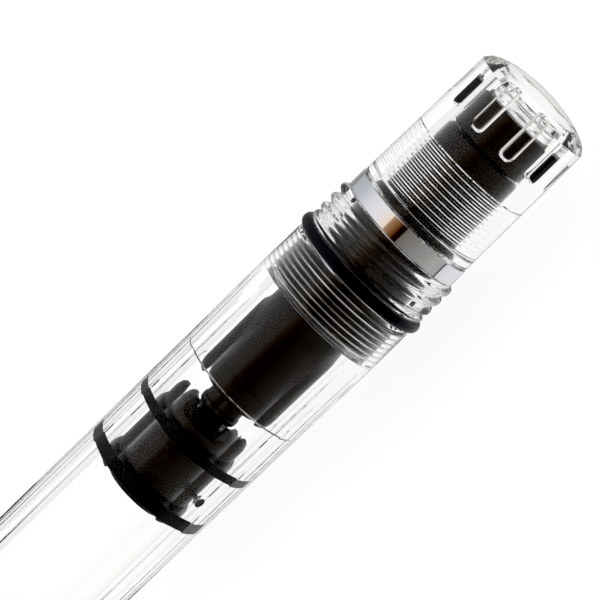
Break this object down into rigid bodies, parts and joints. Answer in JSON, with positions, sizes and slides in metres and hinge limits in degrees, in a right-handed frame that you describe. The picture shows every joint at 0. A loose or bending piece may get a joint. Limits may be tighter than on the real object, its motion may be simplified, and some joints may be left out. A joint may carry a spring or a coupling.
{
  "type": "fountain pen",
  "caption": "Clear piston-filling fountain pen with a threaded cap, sprung clip and a turning knob that screws a black piston along a faceted ink chamber.",
  "frame": {"origin": "centre of the flat face of the cap crown", "axes": "+X along the pen towards the filler knob, +Z towards the clip, +Y completes the right-handed frame"},
  "size_m": [0.1125, 0.0146, 0.0169],
  "materials": {
    "clear": "polished clear",
    "black": "satin moulded",
    "seal": "smooth",
    "chrome": "mirror",
    "steel": "polished",
    "gasket": "milky"
  },
  "bodies": {
    "pen": {"barrel": "clear", "grip_section": "clear", "grip_ring": "chrome", "grip_oring": "seal", "nib_collar": "black", "feed": "black", "nib": "steel", "nib_tipping": "steel", "tail_sleeve": "clear", "posting_oring": "seal", "spigot_gasket": "gasket", "trim_ring": "chrome", "drive_housing": "black", "guide_bush": "black"},
    "knob_washer": {"thrust_washer": "gasket"},
    "knob": {"knob_shell": "clear", "spindle": "black"},
    "piston": {"piston_rod": "black", "piston_head": "black", "piston_seal_front": "seal", "piston_seal_rear": "seal"},
    "inner_cap": {"cap_liner": "clear", "liner_seal": "seal"},
    "cap_seal": {"crown_oring": "seal"},
    "cap": {"cap_shell": "clear", "cap_band": "chrome", "crown_finial": "chrome", "crown_jewel": "black", "clip_collar": "chrome"},
    "clip": {"clip_arm": "chrome"}
  },
  "joints": [
    {"name": "knob_rise", "type": "slide", "parent": "pen", "child": "knob_washer", "axis": [1, 0, 0], "range_m": [0, 0.0015]},
    {"name": "knob_turn", "type": "hinge", "parent": "knob_washer", "child": "knob", "pos_m": [0.1, 0, 0], "axis": [1, 0, 0], "range_deg": [0, 1080]},
    {"name": "piston_travel", "type": "slide", "parent": "pen", "child": "piston", "axis": [-1, 0, 0], "range_m": [0, 0.0165]},
    {"name": "cap_pull", "type": "slide", "parent": "pen", "child": "inner_cap", "axis": [-1, 0, 0], "range_m": [0, 0.06]},
    {"name": "cap_lift", "type": "slide", "parent": "inner_cap", "child": "cap_seal", "axis": [-1, 0, 0], "range_m": [0, 0.00448]},
    {"name": "cap_turn", "type": "hinge", "parent": "cap_seal", "child": "cap", "pos_m": [0.024, 0, 0], "axis": [-1, 0, 0], "range_deg": [0, 720]},
    {"name": "clip_flex", "type": "hinge", "parent": "cap", "child": "clip", "pos_m": [0.0051, 0, 0.0066], "axis": [0, -1, 0], "range_deg": [0, 5]}
  ],
  "couplings": [
    {"joint": "knob_turn", "follows": "piston_travel", "rad_per_m": 1142.4},
    {"joint": "knob_rise", "follows": "piston_travel", "ratio": 0.090909},
    {"joint": "cap_turn", "follows": "cap_lift", "rad_per_m": 2805}
  ]
}
